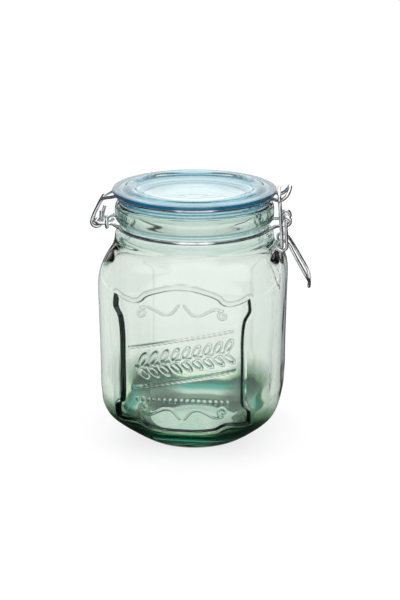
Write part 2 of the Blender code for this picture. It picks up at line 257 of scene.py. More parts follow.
PANEL_BOTTOM = 18.6
# Half of the panel's top edge as (across, below the top), and the ear that joins it to the side;
# then the same for the bottom edge, as (across, above the bottom).
TOP_END = [
    (0.0, 0.0), (6.0, 0.4), (12.0, 1.7), (19.0, 3.9), (21.8, 5.4), (23.6, 7.4), (26.2, 8.7),
    (29.2, 9.0), (33.0, 8.2), (37.0, 6.6), (PANEL_EAR - 0.6, 5.2),
]
TOP_EAR = [(PANEL_EAR - 0.6, 5.2), (PANEL_EAR, 9.5), (PANEL_EAR, 13.0), (38.7, 15.6),
           (37.4, 18.0), (36.6, 22.0), (PANEL_SIDE, 30.0)]
BOTTOM_END = [
    (0.0, 0.0), (9.0, 0.2), (16.0, 1.1), (20.4, 2.2), (23.6, 4.4), (27.2, 5.8), (31.4, 5.7),
    (35.6, 5.2), (PANEL_EAR - 0.6, 5.4),
]
BOTTOM_EAR = [(PANEL_EAR - 0.6, 5.4), (PANEL_EAR, 10.5), (PANEL_EAR - 0.2, 13.6), (38.5, 15.6),
              (37.2, 16.9), (36.4, 19.0), (PANEL_SIDE, 24.0)]
PANEL_DEPTH = 0.95
BEAD_HEIGHT = 0.5
UNDER_TINT = np.array([0.97, 1.0, 0.985])
# The panel's finely meshed strip across a face: its sides' inner and outer limits.
STRIP_INNER = 34.0
STRIP_OUTER = 42.4


def segment_distance(x, z, line):
    """Distance of many points from a polyline."""
    best = np.full(x.shape, 1e9)
    for (x0, z0), (x1, z1) in zip(line[:-1], line[1:]):
        dx, dz = x1 - x0, z1 - z0
        share = np.clip(((x - x0) * dx + (z - z0) * dz) / (dx * dx + dz * dz), 0.0, 1.0)
        best = np.minimum(best, np.hypot(x - x0 - share * dx, z - z0 - share * dz))
    return best


def curl(cx, cz, size, start, way):
    """Points of one turn of a plain spiral, which tightens as it turns."""
    points = []
    for step in range(15):
        share = step / 14
        angle = start + way * share * 2 * math.pi
        radius = size * (1.0 - 0.68 * share)
        points.append((cx + radius * math.cos(angle), cz + radius * math.sin(angle)))
    return points


def raised(gap, height, core, reach):
    """A rounded line's height: full within core of its middle and nothing past reach."""
    return height * (1.0 - smoothstep(core, reach, gap))


RULES = [((-32.0, 70.6), (30.0, 84.0)), ((-30.0, 45.4), (32.0, 58.8))]
SPRIG_SLOPE = math.atan2(13.4, 62.0)
SPRIG_HEIGHT = 64.7
SPRIG_HALF = 29.0
LEAF_PAIRS = 9
LEAF_PITCH = 6.6
BEAD_ROW = 38.6
BEAD_COUNT = 17
BEAD_PITCH = 3.4
CURL_X = 24.6
SWEEP = [(CURL_X, 0.3), (20.0, 0.9), (15.0, -1.4), (10.0, -3.5), (6.0, -2.6), (3.4, 0.2),
         (1.6, 2.6)]


def sprig(x, z):
    """Relief of the leaf sprig between the rules: a stem and pairs of outlined leaves."""
    ux, uz = math.cos(SPRIG_SLOPE), math.sin(SPRIG_SLOPE)
    along = x * ux + (z - SPRIG_HEIGHT) * uz
    above = -x * uz + (z - SPRIG_HEIGHT) * ux
    past_end = 8.0 * (np.abs(along) > SPRIG_HALF)
    height = raised(np.abs(above) + past_end, 0.4, 0.3, 0.9)
    for number in range(LEAF_PAIRS):
        root = -27.0 + LEAF_PITCH * number
        for side in (-1.0, 1.0):
            turn = side * math.radians(52.0)
            px = along - root - side * 0.8
            u = (px * math.cos(turn) + above * math.sin(turn) - 5.0) / 4.6
            v = (-px * math.sin(turn) + above * math.cos(turn)) / 1.9
            rim = np.abs(np.hypot(u, v) - 0.86)
            height = np.maximum(height, raised(rim, 0.45, 0.10, 0.30))
    return height


def ornament(x, z):
    """Relief inside the front panel, in millimetres: rules, a leaf sprig, beads and scrolls."""
    height = sprig(x, z)
    for rule in RULES:
        height = np.maximum(height, raised(segment_distance(x, z, rule), 0.42, 0.35, 1.05))
    for number in range(BEAD_COUNT):
        bead_x = (number - (BEAD_COUNT - 1) / 2) * BEAD_PITCH
        gap = np.hypot(x - bead_x, z - BEAD_ROW)
        height = np.maximum(height, raised(gap, 0.4, 0.4, 1.15))
    for top, way in ((96.4, 1.0), (29.6, -1.0)):
        for side in (-1.0, 1.0):
            sweep = smooth_rows([(side * a, top + b * way, 0.0) for a, b in SWEEP], 1.0)[:, :2]
            end = curl(side * CURL_X, top - 3.0 * way, 3.3, math.pi / 2 * way, side * way)
            for line in (end, [tuple(p) for p in sweep]):
                gap = segment_distance(x, z, line)
                height = np.maximum(height, raised(gap, 0.38, 0.25, 0.85))
    return height


def column_places(kind):
    """Across places of the jar's columns over one face: detailed, framed or plain."""
    corner = BODY_HALF / 2 ** (1 / BODY_SQUARE)
    if kind == "plain":
        return np.linspace(-corner, corner, 40, endpoint=False)
    middle, edge = (180, 28) if kind == "detailed" else (28, 14)
    limits = (-corner, -STRIP_OUTER, -STRIP_INNER, STRIP_INNER, STRIP_OUTER, corner)
    counts = (4, edge, middle, edge, 4)
    return np.concatenate([np.linspace(low, high, count, endpoint=False)
                           for low, high, count in zip(limits[:-1], limits[1:], counts)])


def jar_columns():
    """The angle of every column round the jar, before the body's turn; face 0 is the front."""
    angles = []
    for number, kind in enumerate(("detailed", "plain", "framed", "plain")):
        places = column_places(kind)
        depth = (BODY_HALF ** BODY_SQUARE - np.abs(places) ** BODY_SQUARE) ** (1 / BODY_SQUARE)
        local = np.arctan2(places, depth)
        angles.append(local - math.pi / 2 + number * math.pi / 2)
    return np.concatenate(angles)


def section(angles, half, square, z):
    """Points and outward normals of one superellipse section, before the body's turn."""
    c, s = np.cos(angles), np.sin(angles)
    radius = half / (np.abs(c) ** square + np.abs(s) ** square) ** (1 / square)
    nx = np.sign(c) * np.abs(c) ** (square - 1)
    ny = np.sign(s) * np.abs(s) ** (square - 1)
    size = np.hypot(nx, ny)
    points = np.stack([radius * c, radius * s, np.full_like(c, z)], 1)
    return points, np.stack([nx / size, ny / size], 1)


def inside_line(x, z, line):
    """True where a point is inside a closed line."""
    inside = np.zeros(x.shape, bool)
    for (x0, z0), (x1, z1) in zip(line[:-1], line[1:]):
        if z0 == z1:
            continue
        crosses = (z0 > z) != (z1 > z)
        inside ^= crosses & (x < x0 + (z - z0) * (x1 - x0) / (z1 - z0))
    return inside


def panel_gap(across, z):
    """Signed distance from the framed panel's line, negative inside it."""
    gap = segment_distance(across, z, PANEL_LINE)
    return np.where(inside_line(across, z, PANEL_LINE), -gap, gap)


def panel_height(gap, depth):
    """Height of the panel's step and of the bead outside it."""
    bead = BEAD_HEIGHT * (1.0 - smoothstep(1.1, 2.7, gap))
    rise = smoothstep(-0.45, 0.45, gap)
    return depth * (bead * rise - PANEL_DEPTH * (1.0 - rise))


def face_places(points, angles):
    """Which face each point is on, its place across it, and its height."""
    quarter = np.round((angles + math.pi / 2) / (math.pi / 2)).astype(int) % 4
    turn = -quarter * math.pi / 2
    across = points[:, 0] * np.cos(turn) - points[:, 1] * np.sin(turn)
    return quarter, across, points[:, 2]


def panel_shade(x, z, gap):
    """How dark the panel's step looks: black up its sides, thin and fading over its arch.

    The left side's line is the wider one. Round the bottom a second line runs outside the step.
    """
    lean = np.abs(panel_gap(x + 0.2, z) - panel_gap(x - 0.2, z)) / 0.4
    upright = smoothstep(31.0, 35.0, np.abs(x)) * smoothstep(0.6, 0.95, lean)
    flat = 1.0 - upright
    low = 1.0 - smoothstep(28.0, 40.0, z)
    side_inner = np.where(x < 0, 1.45, 0.75)
    side_outer = np.where(x < 0, 1.15, 0.4)
    inner = 0.45 + 0.25 * low + (side_inner - 0.45) * upright
    outer = 0.2 + 0.2 * low + (side_outer - 0.2) * upright
    wall = smoothstep(-inner - 0.3, -inner, gap) * (1.0 - smoothstep(outer, outer + 0.35, gap))
    strength = np.maximum(0.3 + 0.7 * smoothstep(0.08, 0.4, lean), low)
    bead_line = raised(np.abs(gap - 2.7), 0.28, 0.25, 0.7) * flat * (1.0 - low)
    foot_line = raised(np.abs(gap - 3.7), 0.93, 0.35, 0.95) * low * flat
    return np.maximum(np.maximum(wall * strength, bead_line), foot_line)


def ornament_shade(x, z):
    """How dark the ornament's slopes look, darkest where they face down."""
    slope_x = (ornament(x + 0.15, z) - ornament(x - 0.15, z)) / 0.3
    slope_z = (ornament(x, z + 0.15) - ornament(x, z - 0.15)) / 0.3
    edge = 0.35 * np.abs(slope_x) + 0.3 * np.abs(slope_z) + 0.4 * np.maximum(slope_z, 0)
    return np.clip(edge, 0.0, 0.7)


# The framed faces, the front and the back, and how strongly each frame is pressed.
FRAMED_FACES = ((0, 1.0), (2, 0.12))
STEP_SHADE = np.array([1.0, 0.985, 0.99])


def relief(points, angles):
    """How far the outside stands proud of its plain section, and its painted tint: bands of
    painted shade, and painted shade on the panel's step and the ornament's slopes.
    """
    quarter, across, z = face_places(points, angles)
    height = np.zeros_like(across)
    tint = painted_shade_bands(z, angles)
    for face, depth in FRAMED_FACES:
        on = quarter == face
        if not on.any():
            continue
        x, up = across[on], z[on]
        gap = panel_gap(x, up)
        step = panel_height(gap, depth)
        dark = panel_shade(x, up, gap) * depth
        if face == 0:
            inside = smoothstep(0.6, 1.2, -gap)
            step = step + ornament(x, up) * inside
            dark = np.maximum(dark, ornament_shade(x, up) * inside)
        height[on] = step
        # Painted shade on the step and the ornament's slopes darkens the tint.
        tint[on] *= 1.0 - dark[:, None] * STEP_SHADE
    return height, tint


# Painted shade up the outside, as (height, colour) stops: dark and pale bands where light bends
# through the thick base, and the neck's bands of painted shade with pale-blue lines painted where
# the lid shows through.
BASE_SHADE_BANDS = [
    (-1.0, (0.16, 0.30, 0.22)), (2.6, (0.18, 0.34, 0.24)), (3.8, (0.70, 0.84, 0.72)),
    (5.6, (0.72, 0.88, 0.76)), (7.0, (0.34, 0.66, 0.58)), (8.4, (0.05, 0.44, 0.36)),
    (10.4, (0.04, 0.42, 0.34)), (11.4, (0.01, 0.16, 0.10)), (13.4, (0.02, 0.20, 0.12)),
    (14.2, (0.30, 0.55, 0.30)), (15.0, (0.86, 1.0, 0.74)), (17.0, (0.86, 0.99, 0.80)),
    (19.0, (0.95, 1.0, 0.95)), (40.0, (1.0, 1.0, 1.0)),
]
NECK_SHADE_BANDS = [
    (126.0, (1.0, 1.0, 1.0)), (130.4, (0.75, 0.86, 0.84)), (131.6, (0.92, 0.98, 0.98)),
    (136.2, (0.92, 0.98, 1.0)), (137.0, (0.60, 0.84, 0.90)), (137.6, (0.90, 0.96, 0.98)),
    (138.6, (0.55, 0.80, 0.86)), (139.4, (0.72, 0.79, 0.78)), (143.0, (0.76, 0.82, 0.81)),
    (143.6, (0.92, 0.97, 0.97)), (145.4, (0.94, 0.98, 0.98)), (146.2, (0.62, 0.74, 0.70)),
    (147.2, (0.72, 0.82, 0.77)), (148.0, (0.88, 0.94, 0.92)), (149.0, (0.88, 0.94, 0.92)),
]


def banded(bands, places):
    """Colours read from a list of (place, colour) stops."""
    stops = [stop for stop, colour in bands]
    return np.stack([np.interp(places, stops, [colour[k] for stop, colour in bands])
                     for k in range(3)], 1)


def painted_shade_bands(z, angles):
    """Painted shade by height: the stacked bands that the thick base and the neck's steps show,
    darkest at the heel's corners.
    """
    corner = smoothstep(0.5, 1.0, np.abs(np.sin(2.0 * angles)))
    wave = 0.25 * np.sin(5.0 * angles) + 0.2 * np.sin(11.0 * angles + 1.0)
    bands = banded(BASE_SHADE_BANDS, z / (1.0 + 0.3 * corner) + wave)
    # Painted shade: the heel darkens towards its corners.
    heel_shade = raised(z, 0.90, 16.0, 36.0) * corner
    bands *= 1.0 - heel_shade[:, None] * np.array([1.0, 0.88, 0.94])
    return np.where((z > 60.0)[:, None], banded(NECK_SHADE_BANDS, z), bands)


def floor_tint(points):
    """The inside of the base: mottled teal, fading to clear up the walls."""
    x, y, z = points[:, 0], points[:, 1], points[:, 2]
    cloud = (np.sin(0.21 * x + 0.9) * np.cos(0.17 * y - 0.4) + 0.6 * np.sin(0.43 * x - 0.37 * y)
             + 0.5 * np.sin(0.9 * x + 0.8 * y + 2.0 * np.sin(0.5 * y)))
    speck = np.array([mathnoise.noise(Vector((a * 0.9, b * 0.9, 0.0))) for a, b in zip(x, y)])
    share = np.clip(0.5 + 0.28 * cloud + 0.55 * speck, 0.0, 1.0)[:, None]
    deep = np.array([0.70, 0.93, 0.86])
    pale = np.array([1.0, 1.0, 1.0])
    mottle = deep + (pale - deep) * share
    up = smoothstep(7.4, 9.5, z)[:, None]
    return mottle * (1.0 - up) + up


def dense_panel_line():
    """The framed panel's closed line on a face, as (across, z), sharp only at the ears."""
    top = [(x, PANEL_TOP - d) for x, d in TOP_END]
    top_ear = [(x, PANEL_TOP - d) for x, d in TOP_EAR]
    low_ear = [(x, PANEL_BOTTOM + d) for x, d in BOTTOM_EAR]
    bottom = [(x, PANEL_BOTTOM + d) for x, d in BOTTOM_END]
    side = top_ear + [(PANEL_SIDE, 65.0)] + low_ear[::-1]
    runs = [smooth_rows([(x, z, 0.0) for x, z in run], 1.5)[:, :2]
            for run in (top, side, bottom[::-1])]
    right = np.vstack([runs[0], runs[1][1:], runs[2][1:]])
    left = right[::-1] * np.array([-1.0, 1.0])
    return np.vstack([right, left[1:]])


PANEL_LINE = dense_panel_line()
PUSH_UP = 0.9
FLOOR_MIDDLE = 6.55
FLOOR_MIDDLE_TINT = (0.9, 1.0, 0.96)


def outer_step(place):
    """Row spacing up the outside of the jar, finest where the panel's ends cross it."""
    z = place[1]
    if 17.0 < z < 112.0:
        return 0.7 if 34.0 < z < 97.0 else 0.38
    return 0.9 if z > 128.0 or z < 17.0 else 1.2


def jar_rows():
    """Every row of the jar's mesh as (half width, height, power, kind), from under the foot up
    the outside and down the inside.
    """
    knots = []
    for first, second in zip(OUTER[:-1], OUTER[1:]):
        knots.append(first)
        if second[1] - first[1] > 9.0:
            knots.append(tuple(0.5 * (u + v) for u, v in zip(first, second)))
    knots.append(OUTER[-1])
    rows = [(r, PUSH_UP - PUSH_UP * smoothstep(26.0, 30.4, np.array(r)), 2.0, "under")
            for r in (4.0, 14.0, 24.0, 26.0, 27.0, 28.0, 29.0, 29.8)]
    rows += [(a, z, n, "full" if 15.0 < z < 113.0 else "half")
             for a, z, n in smooth_rows(knots, outer_step)]
    rows += [(a, z, n, "inner") for a, z, n in smooth_rows(INNER, 2.5)]
    return rows + [(9.0, 6.7, 2.0, "inner"), (4.0, 6.6, 2.0, "inner")]


def make_jar():
    """The jar as one closed glass mesh: detailed outside, plain inside, thick base."""
    angles = jar_columns()
    half_angles = angles[::2]
    verts, tints, faces, rings = [], [], [], []
    total = 0
    c, s = math.cos(BODY_TURN), math.sin(BODY_TURN)
    for a, z, n, kind in jar_rows():
        around = angles if kind == "full" else half_angles
        points, normals = section(around, a, n, z)
        tint = np.ones((len(around), 3))
        if kind == "full":
            height, tint = relief(points, around)
            points[:, :2] += normals * height[:, None]
        elif kind == "half":
            tint = painted_shade_bands(points[:, 2], around)
        elif kind == "under":
            tint = tint * UNDER_TINT
        elif kind == "inner" and z < 20.0:
            tint = floor_tint(points)
        turned = points.copy()
        turned[:, 0] = points[:, 0] * c - points[:, 1] * s
        turned[:, 1] = points[:, 0] * s + points[:, 1] * c
        verts.append(turned)
        tints.append(tint)
        rings.append(list(range(total, total + len(around))))
        total += len(around)
    for lower, upper in zip(rings[:-1], rings[1:]):
        faces += stitch(lower, upper)
    verts.append(np.array([[0.0, 0.0, PUSH_UP], [0.0, 0.0, FLOOR_MIDDLE]]))
    tints.append(np.array([UNDER_TINT, FLOOR_MIDDLE_TINT]))
    first, last = rings[0], rings[-1]
    for k in range(len(first)):
        j = (k + 1) % len(first)
        faces.append((first[j], first[k], total))
        faces.append((last[k], last[j], total + 1))
    verts = np.vstack(verts)
    made = mesh_object("jar_glass_body", verts, faces)
    paint(made, np.vstack(tints), 1.0 - 0.92 * smoothstep(108.0, 126.0, verts[:, 2]))
    return made


def paint(made, tints, waves=1.0):
    """Store one colour a vertex as the glass's tint and painted shade, and in its alpha how wavy
    it is.
    """
    layer = made.data.color_attributes.new("tint_and_painted_shade", "FLOAT_COLOR", "POINT")
    flat = np.empty((len(tints), 4))
    flat[:, 3] = waves
    # Light bends in and out through a base colour's square root, so the colours are squared.
    flat[:, :3] = np.clip(tints, 0.0, 1.0) ** 2
    layer.data.foreach_set("color", flat.ravel())


def stitch(lower, upper):
    """Faces between two rings of the same size, or of sizes two to one."""
    m, n = len(lower), len(upper)
    faces = []
    if m == n:
        for k in range(m):
            j = (k + 1) % m
            faces.append((lower[k], lower[j], upper[j], upper[k]))
    elif n == 2 * m:
        for k in range(m):
            j = (k + 1) % m
            faces.append((lower[k], upper[2 * k + 1], upper[2 * k]))
            faces.append((lower[k], lower[j], upper[2 * k + 1]))
            faces.append((lower[j], upper[(2 * k + 2) % n], upper[2 * k + 1]))
    else:
        for k in range(n):
            j = (k + 1) % n
            faces.append((lower[2 * k], lower[2 * k + 1], upper[k]))
            faces.append((lower[2 * k + 1], upper[j], upper[k]))
            faces.append((lower[2 * k + 1], lower[(2 * k + 2) % m], upper[j]))
    return faces


def lathe(name, profile, count, closed):
    """A turned mesh; the profile of (radius, z) runs down its outer side."""
    verts, faces, rings = [], [], []
    angles = np.linspace(0.0, 2 * math.pi, count, endpoint=False)
    for r, z in profile:
        if r < 1e-6:
            rings.append([len(verts)])
            verts.append((0.0, 0.0, z))
            continue
        rings.append(list(range(len(verts), len(verts) + count)))
        verts += [(r * math.cos(a), r * math.sin(a), z) for a in angles]
    pairs = list(zip(rings[:-1], rings[1:]))
    if closed:
        pairs.append((rings[-1], rings[0]))
    for upper, lower in pairs:
        for k in range(count):
            j = (k + 1) % count
            if len(upper) == 1:
                faces.append((upper[0], lower[k], lower[j]))
            elif len(lower) == 1:
                faces.append((lower[0], upper[j], upper[k]))
            else:
                faces.append((upper[k], lower[k], lower[j], upper[j]))
    return mesh_object(name, np.array(verts), faces)


# The lid's painted tints over its top, as (radius, colour) stops: its blue deepening towards the
# thick flange, with lines of painted shade over its slopes and painted shade darkening the
# flange's rim.
LID_TINT_AND_SHADE_RINGS = [
    (0.0, (0.84, 0.92, 0.93)), (31.5, (0.84, 0.93, 0.94)), (32.4, (0.62, 0.82, 0.88)),
    (33.3, (0.86, 0.95, 0.97)), (34.6, (0.80, 0.92, 0.95)), (35.4, (0.44, 0.71, 0.80)),
    (36.4, (0.70, 0.86, 0.91)), (37.6, (0.50, 0.75, 0.83)), (39.0, (0.66, 0.84, 0.90)),
    (40.6, (0.40, 0.69, 0.79)), (42.0, (0.58, 0.79, 0.86)), (43.4, (0.34, 0.64, 0.75)),
    (44.4, (0.50, 0.74, 0.83)), (46.0, (0.28, 0.58, 0.70)), (47.2, (0.36, 0.64, 0.75)),
    (48.4, (0.22, 0.52, 0.65)), (50.5, (0.08, 0.36, 0.49)),
]


LID_PROFILE = [
    (0.0, 154.5), (12.0, 154.5), (20.0, 154.55), (27.0, 155.0), (32.0, 155.9), (35.0, 157.0),
    (37.0, 157.9), (39.2, 158.35), (41.2, 158.2), (42.6, 157.5), (44.2, 157.1), (46.5, 157.1),
    (48.6, 157.05), (49.6, 156.7), (49.98, 156.1), (49.98, 155.3), (49.7, 154.85),
    (49.2, 154.9), (48.3, 155.5), (47.2, 155.7), (46.6, 155.3), (46.5, 154.3), (46.5, 153.0),
    (47.0, 152.2), (47.4, 151.4), (47.1, 150.85), (46.4, 150.6), (44.0, 150.6), (41.0, 150.6),
    (40.0, 150.3), (39.6, 149.4), (39.4, 148.0), (38.8, 147.2), (37.6, 147.0), (36.2, 147.2),
    (35.0, 147.9), (33.0, 148.7), (28.0, 149.2), (18.0, 149.5), (8.0, 149.5), (0.0, 149.5),
]
SEAT_SHADE = np.array([0.28, 0.09, 0.06])
EDGE_SHADE = np.array([0.99, 0.84, 0.74])


def make_lid():
    """The blue lid: dish, raised ring, rolled flange, wire seat, foot ring and boss."""
    rows = smooth_rows([(r, z, 0.0) for r, z in LID_PROFILE], 0.6)[:, :2]
    rows[0] = LID_PROFILE[0]
    rows[-1] = LID_PROFILE[-1]
    rows[:, 0] = np.maximum(rows[:, 0], 0.0)
    keep = [0] + [k for k in range(1, len(rows) - 1) if rows[k, 0] > 0.3] + [len(rows) - 1]
    made = lathe("lid_blue_glass", rows[keep], 256, False)
    co = np.empty(len(made.data.vertices) * 3)
    made.data.vertices.foreach_get("co", co)
    co = co.reshape(-1, 3) / MM
    radius = np.hypot(co[:, 0], co[:, 1])
    z = co[:, 2]
    top = smoothstep(152.5, 153.5, z) * (1.0 - smoothstep(48.6, 49.4, radius))
    # Blue tint with lines of painted shade and a flange darkened by painted shade; the seat and
    # the edge get more painted shade below.
    tints = banded(LID_TINT_AND_SHADE_RINGS, radius) * top[:, None] + (1.0 - top[:, None])
    seat = smoothstep(45.8, 46.4, radius) * (1.0 - smoothstep(154.2, 154.8, z))
    tints *= 1.0 - seat[:, None] * SEAT_SHADE
    edge = smoothstep(48.8, 49.6, radius) * smoothstep(154.2, 154.9, z)
    tints *= 1.0 - edge[:, None] * EDGE_SHADE
    paint(made, tints, 0.5)
    return made


def make_gasket():
    """The clear sealing ring with rounded edges."""
    low, high, inner, outer = 148.7, 150.3, 40.9, 46.4
    corner = 0.45
    profile = []
    for cx, cz, start in ((outer - corner, high - corner, 90), (outer - corner, low + corner, 0),
                          (inner + corner, low + corner, -90),
                          (inner + corner, high - corner, -180)):
        for step in range(5):
            angle = math.radians(start - 22.5 * step)
            profile.append((cx + corner * math.cos(angle), cz + corner * math.sin(angle)))
    return lathe("gasket_ring", profile, 192, True)


# ---------------------------------------------------------------- the wires

HINGE = (-59.9, 135.8)
LEVER_PIVOT = (55.9, 138.5)
LINK_PIVOT = (53.8, 123.6)
LINK_BAR = (51.5, 154.9)
HINGE_BAR_HALF = 8.0
HOOK_Y = 5.0
EYE_Y = 8.6
LEVER_LEG_Y = 11.0
LINK_LEG_Y = 13.3
TONGUE_Y = 8.5
HANDLE_Y = 11.2
COIL_DRIFT = 2.4
NECK_WIRE_RADIUS = 46.8
LID_WIRE_RADIUS = 47.9
LID_WIRE_Z = 154.1
GROOVE_Z = 134.3
HEAVY_WIRE = 1.1
LIGHT_WIRE = 1.0
WIRE_SIDES = 16
END_RINGS = 3
END_DOME = 0.35
START_INSET = 0.05


def arc_points(radius, z, start, end, pieces):
    """Level arc about the neck's axis, angles in degrees."""
    angles = [math.radians(start + (end - start) * k / pieces) for k in range(pieces + 1)]
    return [(radius * math.cos(a), radius * math.sin(a), z) for a in angles]


def curl_points(centre, radius, start, end, start_y, end_y, pieces):
    """A curl in the closure's plane that drifts along Y as it turns."""
    points = []
    for k in range(pieces + 1):
        share = k / pieces
        angle = math.radians(start + (end - start) * share)
        points.append((centre[0] + radius * math.cos(angle), start_y + (end_y - start_y) * share,
                       centre[1] + radius * math.sin(angle)))
    return points


def mirrored(points):
    """The same points on the other side of the closure's plane."""
    return [(x, -y, z) for x, y, z in points]


def bail_half(strand_end):
    """One hinge bail: its hook round the bracket's bar and its rise to the lid's seat."""
    y = -HOOK_Y
    hook = curl_points(HINGE, 2.9, 0.0, -188.0, y, y, 9)
    rise = [(-61.4, y, 140.2), (-59.3, y, 144.6), (-57.1, -4.9, 148.6), (-55.9, -5.1, 150.2),
            (-53.9, -5.9, 151.1), (-51.1, -8.2, 152.0), (-48.6, -10.8, 153.1)]
    return [strand_end, (-56.95, y, 138.6)] + hook + rise


def lid_wire_route():
    """The lid wire: bail, front arc, the clamp's tongue, back arc and the other bail."""
    y = -TONGUE_Y
    tongue = [(47.8, -11.6, 153.1), (49.9, y - 0.7, 151.8), (51.9, y, 151.35),
              (54.4, y + 0.1, 152.6), (56.8, -7.3, 155.1), (57.9, -5.0, 157.3),
              (58.2, -1.9, 158.4)]
    arc = arc_points(LID_WIRE_RADIUS, LID_WIRE_Z, 197.0, 342.0, 29)
    front = bail_half((-56.7, -HOOK_Y, 143.0)) + arc + tongue
    back = bail_half((-55.6, -HOOK_Y, 143.6)) + arc + tongue
    return front + mirrored(reversed(back))


def eye_half():
    """The lead from the neck's groove to one of the lever's eyes, and the eye."""
    lead = [(46.9, -12.2, 134.7), (49.4, -9.9, 135.5), (52.4, -EYE_Y - 0.1, 135.9)]
    return lead + curl_points(LEVER_PIVOT, 2.6, -90.0, 195.0, -EYE_Y, -EYE_Y + 1.9, 13)


def neck_front_route():
    """The neck wire's front half: hinge bracket, arc in the groove and eye."""
    x, z = HINGE
    y = HINGE_BAR_HALF
    bracket = [(-53.5, y, z), (-57.6, y, z), (-59.2, y - 0.4, z), (x, y - 1.9, z), (x, 0.0, z),
               (x, 1.9 - y, z), (-59.2, 0.4 - y, z), (-57.6, -y, z), (-53.5, -y, z),
               (-50.2, -y - 0.1, 135.5), (-47.6, -y - 2.0, 134.8)]
    return bracket + arc_points(NECK_WIRE_RADIUS, GROOVE_Z, 197.0, 342.0, 29) + eye_half()


def neck_back_route():
    """The neck wire's back half: its hook round the front half, arc and eye."""
    y, z = -HINGE_BAR_HALF, HINGE[1]
    hook = []
    for k in range(8):
        angle = math.radians(-25.0 - 245.0 * k / 7.0)
        hook.append((-53.0, y + 2.5 * math.cos(angle), z + 2.5 * math.sin(angle)))
    tail = [(-50.2, 0.2, 136.3), (-50.9, -3.0, 135.9)]
    strand = [(-52.5, -4.4, 138.8), (-51.3, 0.5, 138.6), (-50.3, 6.0, 137.4), (-48.4, 9.9, 135.6)]
    arc = arc_points(NECK_WIRE_RADIUS, GROOVE_Z, 163.5, 18.0, 29)
    return tail + hook + strand + arc + mirrored(eye_half())


def lever_route():
    """The lever: pins in the eyes, coils for the link and the hairpin handle."""
    y = -LEVER_LEG_Y
    x, z = LEVER_PIVOT
    pin = [(x, -5.8, z), (x, -9.6, z), (x, -10.7, 138.1), (x, y, 136.9)]
    coil = curl_points(LINK_PIVOT, 2.9, 0.0, -296.0, y, y + COIL_DRIFT, 13)
    handle = [(57.9, y + COIL_DRIFT, 123.9), (60.6, 0.9 - HANDLE_Y, 119.4),
              (65.0, -HANDLE_Y, 111.7), (69.3, 0.1 - HANDLE_Y, 104.0), (70.6, -8.8, 101.4),
              (71.0, -4.6, 98.9), (71.0, -1.8, 96.9), (70.9, -0.9, 95.3)]
    half = pin + [(56.1, y, 130.0)] + coil + handle
    return half + [(70.9, 0.0, 95.0)] + mirrored(reversed(half))


def link_route():
    """The link: a hoop from coil to coil, with its bar over the tongue."""
    x, z = LINK_PIVOT
    bar_x, bar_z = LINK_BAR
    y = -LINK_LEG_Y
    half = [(x, -7.0, z), (x, y + 1.5, z), (x, y + 0.4, z + 0.4), (x - 0.05, y, z + 1.5),
            (bar_x + 0.1, y, bar_z - 2.4), (bar_x, y + 0.7, bar_z - 0.7), (bar_x, y + 2.4, bar_z)]
    return half + mirrored(reversed(half))


def end_ring(number, inset):
    """How far past the line an end ring is, and its size, both as shares of the wire's radius."""
    lift = math.radians(20.0 + 26.0 * number)
    size = math.sin(lift + 0.05) if number < END_RINGS - 1 else 0.99
    return END_DOME * (1.0 - math.sin(lift) - inset), size


def make_wire(name, route, radius):
    """A round wire mesh swept along a smooth route, with softly rounded ends."""
    line = smooth_rows(route, 0.7)
    tangents = np.gradient(line, axis=0)
    tangents /= np.linalg.norm(tangents, axis=1)[:, None]
    side = np.cross(tangents[0], (0.0, 0.0, 1.0))
    if np.linalg.norm(side) < 0.1:
        side = np.cross(tangents[0], (0.0, 1.0, 0.0))
    side /= np.linalg.norm(side)
    angles = np.linspace(0.0, 2 * math.pi, WIRE_SIDES, endpoint=False)
    verts, rings, faces = [], [], []

    def add_ring(centre, tangent, side, size):
        other = np.cross(tangent, side)
        rings.append(list(range(len(verts), len(verts) + WIRE_SIDES)))
        for a in angles:
            verts.append(centre + size * (math.cos(a) * side + math.sin(a) * other))

    for number in range(END_RINGS):
        past, size = end_ring(number, START_INSET)
        add_ring(line[0] - tangents[0] * radius * past, tangents[0], side, radius * size)
    for point, tangent in zip(line, tangents):
        side = side - tangent * np.dot(side, tangent)
        side /= np.linalg.norm(side)
        add_ring(point, tangent, side, radius)
    for number in reversed(range(END_RINGS)):
        past, size = end_ring(number, 0.0)
        add_ring(line[-1] + tangents[-1] * radius * past, tangents[-1], side, radius * size)
    for lower, upper in zip(rings[:-1], rings[1:]):
        faces += stitch(lower, upper)
    faces.append(tuple(reversed(rings[0])))
    faces.append(tuple(rings[-1]))
    return mesh_object(name, np.array(verts), faces)


# ---------------------------------------------------------------- studio

# The camera stands a little to the right of the front, and the room turns with it.
CAMERA_TURN = math.radians(3.0)
CAMERA_ELEVATION = math.radians(17.73)
CAMERA_DISTANCE = 0.9347
CAMERA_TARGET = (0.0, 0.0, 0.0857)
FRAME_HEIGHT = 600.0
CLOTH_HEIGHT = 0.2
CLOTH_STEPS = 56


